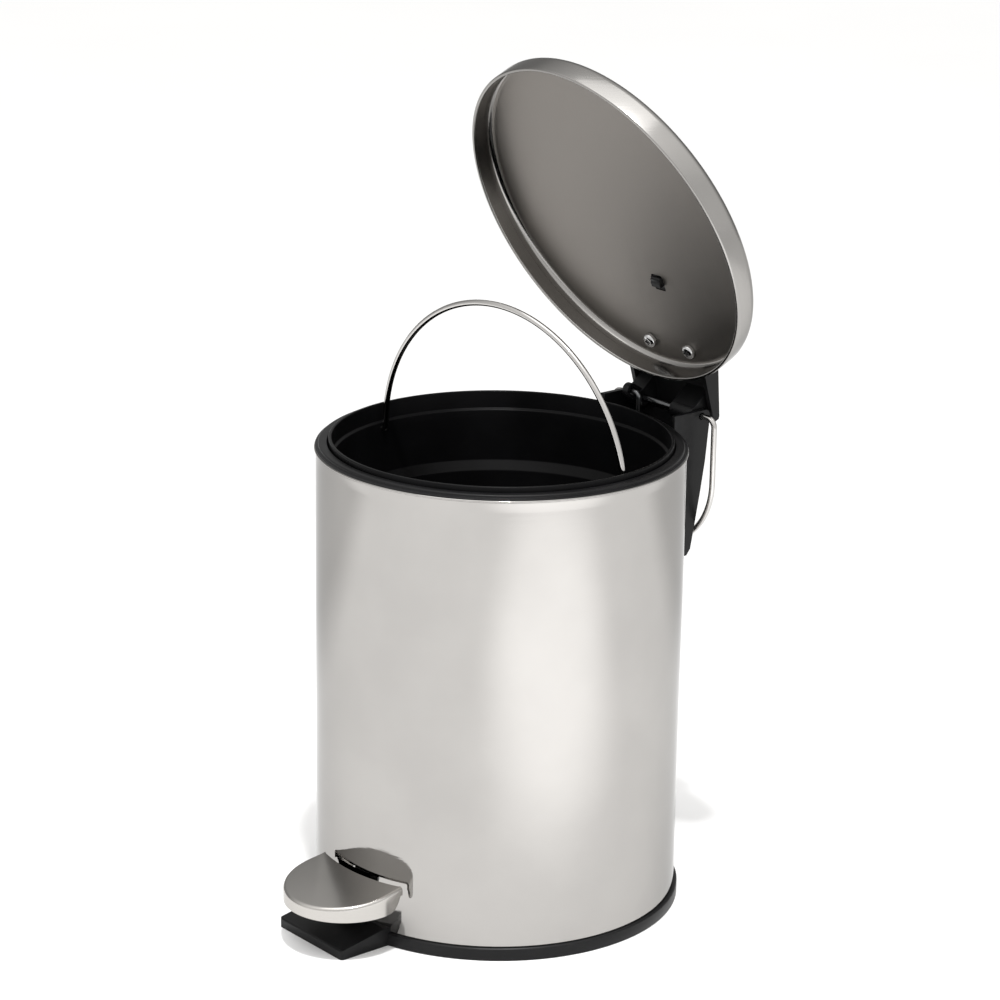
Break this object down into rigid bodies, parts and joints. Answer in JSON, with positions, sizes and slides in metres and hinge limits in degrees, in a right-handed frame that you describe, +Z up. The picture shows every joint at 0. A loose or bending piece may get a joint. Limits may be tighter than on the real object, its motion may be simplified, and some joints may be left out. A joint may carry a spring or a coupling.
{
  "type": "pedal trash can",
  "caption": "Round steel pedal bin with an open hinged lid, a lift-out plastic bucket with a wire bail, a chrome pedal and a wire carrying loop.",
  "frame": {"origin": "on the floor, on the axis of the round body", "axes": "+Z up, -Y towards the pedal, +Y towards the lid hinge, +X to the user's right when facing the pedal from the front"},
  "size_m": [0.1712, 0.2309, 0.3875],
  "materials": {
    "brushed_steel": "fine brushed, near mirror",
    "chrome": "bright chrome plate",
    "black_plastic": "moulded, satin",
    "bucket_plastic": "moulded, fine grain",
    "zinc_steel": "bright zinc plate",
    "screw_steel": "nickel plate"
  },
  "bodies": {
    "bin": {"base_plate": "black_plastic", "body_shell": "brushed_steel", "top_collar": "black_plastic", "inner_bucket": "bucket_plastic", "hinge_housing": "black_plastic", "housing_screws": "screw_steel", "hinge_tube": "zinc_steel", "rod_guide": "black_plastic", "pivot_pin": "zinc_steel", "pin_clips": "screw_steel", "pivot_clamps": "black_plastic", "clamp_screws": "screw_steel"},
    "lid": {"lid_shell": "brushed_steel", "lid_bracket": "black_plastic", "lid_screws": "screw_steel"},
    "rod": {"push_rod": "zinc_steel", "rod_clip": "screw_steel"},
    "pedal": {"pedal_lever": "zinc_steel", "lever_bush": "zinc_steel", "pedal_plate": "chrome"},
    "carry_loop": {"carry_handle": "chrome"},
    "bail": {"bail_handle": "chrome"}
  },
  "joints": [
    {"name": "lid_hinge", "type": "hinge", "parent": "bin", "child": "lid", "pos_m": [0, 0.0995, 0.2178], "axis": [1, 0, 0], "range_deg": [0, 65]},
    {"name": "rod_slide", "type": "slide", "parent": "bin", "child": "rod", "axis": [0, 0, 1], "range_m": [-0.0087, 0]},
    {"name": "pedal_pivot", "type": "hinge", "parent": "bin", "child": "pedal", "pos_m": [0, 0.015, 0.021], "axis": [1, 0, 0], "range_deg": [-7.65, 0]},
    {"name": "bail_pivot", "type": "hinge", "parent": "bin", "child": "bail", "pos_m": [0, 0, 0.2073], "axis": [0.9925, 0.1219, 0], "range_deg": [0, 83.5]},
    {"name": "carry_loop_pivot", "type": "hinge", "parent": "bin", "child": "carry_loop", "pos_m": [0, 0.0995, 0.2178], "axis": [1, 0, 0], "range_deg": [0, 150]}
  ],
  "couplings": [
    {"joint": "rod_slide", "follows": "lid_hinge", "m_per_rad": -0.0075778},
    {"joint": "pedal_pivot", "follows": "lid_hinge", "ratio": -0.11641},
    {"joint": "bail_pivot", "follows": "lid_hinge", "ratio": 1.2769}
  ]
}
